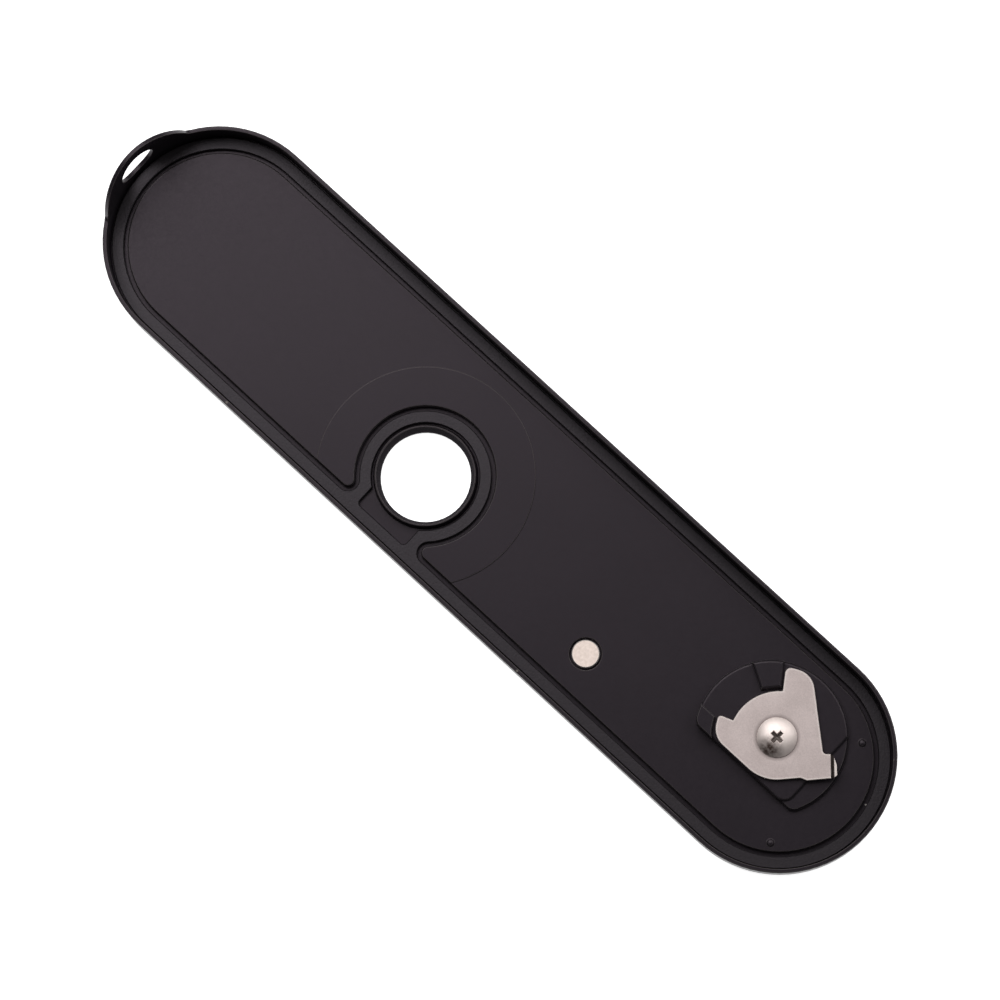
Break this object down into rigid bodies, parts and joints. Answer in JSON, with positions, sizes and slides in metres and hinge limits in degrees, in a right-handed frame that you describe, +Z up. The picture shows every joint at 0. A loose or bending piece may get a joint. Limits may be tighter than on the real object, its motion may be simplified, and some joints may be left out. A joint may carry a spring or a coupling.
{
  "type": "camera base plate",
  "caption": "Round-ended removable base plate for a rangefinder camera, with rubber seal, hook ear, tripod opening and a folding key that turns a locking cam.",
  "frame": {"origin": "middle of the flat underside, under the middle of the round-ended outline", "axes": "+X along the plate towards the lock, +Y across it, +Z up from the underside into the camera body"},
  "size_m": [0.139, 0.0324, 0.0121],
  "materials": {
    "black_paint_brass": "satin black paint on milled brass",
    "black_rubber": "matt moulded",
    "nickel_plate": "satin nickel plate",
    "bare_brass": "turned",
    "black_washer": "punched sheet",
    "black_chrome_steel": "satin black chrome",
    "spring_steel": "rolled",
    "stainless_cam": "tumbled satin",
    "nickel_screw": "satin nickel plate"
  },
  "bodies": {
    "plate": {"base_shell": "black_paint_brass", "rubber_seal": "black_rubber", "magnet": "nickel_plate", "shaft_bush": "bare_brass", "shaft_seal": "black_rubber", "thrust_washer": "black_washer"},
    "lock": {"lock_disc": "black_chrome_steel", "key_spring": "spring_steel", "spring_rivet": "spring_steel", "friction_washer": "spring_steel", "cam_plate": "stainless_cam", "cam_screw": "nickel_screw", "key_pin_left": "spring_steel", "key_pin_right": "spring_steel"},
    "key": {"lock_key": "black_chrome_steel"}
  },
  "joints": [
    {"name": "lock_turn", "type": "hinge", "parent": "plate", "child": "lock", "pos_m": [0.05135, 0.00165, 0.002], "axis": [0, 0, -1], "range_deg": [0, 49]},
    {"name": "key_fold", "type": "hinge", "parent": "lock", "child": "key", "pos_m": [0.05135, 0.00165, 0.00051], "axis": [1, 0, 0], "range_deg": [0, 90]}
  ]
}
